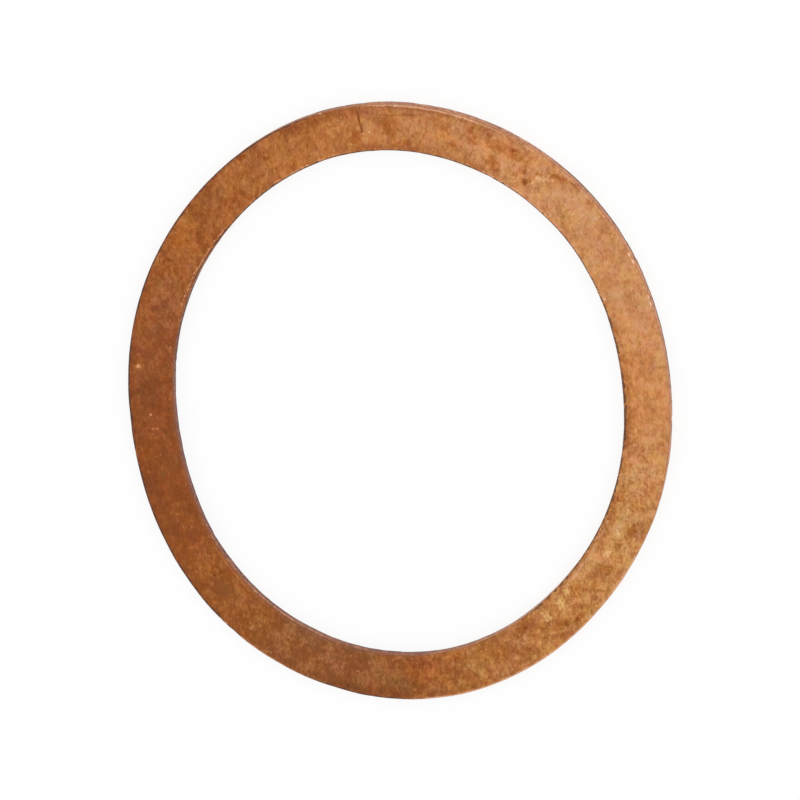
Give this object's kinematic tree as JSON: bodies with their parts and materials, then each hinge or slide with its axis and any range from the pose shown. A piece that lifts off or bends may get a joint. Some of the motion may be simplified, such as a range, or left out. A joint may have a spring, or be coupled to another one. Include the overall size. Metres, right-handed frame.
{
  "type": "copper crush washer",
  "caption": "Flat copper crush washer, a plain ring that seals under a plug or union bolt, bent slightly oval by use.",
  "frame": {"origin": "middle of the bore, on the face that the washer lies on", "axes": "+Z along the bore, out of the upper face; the slightly oval ring is longest along Y"},
  "size_m": [0.0359, 0.04, 0.001],
  "materials": {
    "aged_copper": "bare copper, aged to a mottled satin brown, brighter at worn rims"
  },
  "bodies": {
    "root": {"crush_washer": "aged_copper"}
  },
  "joints": []
}
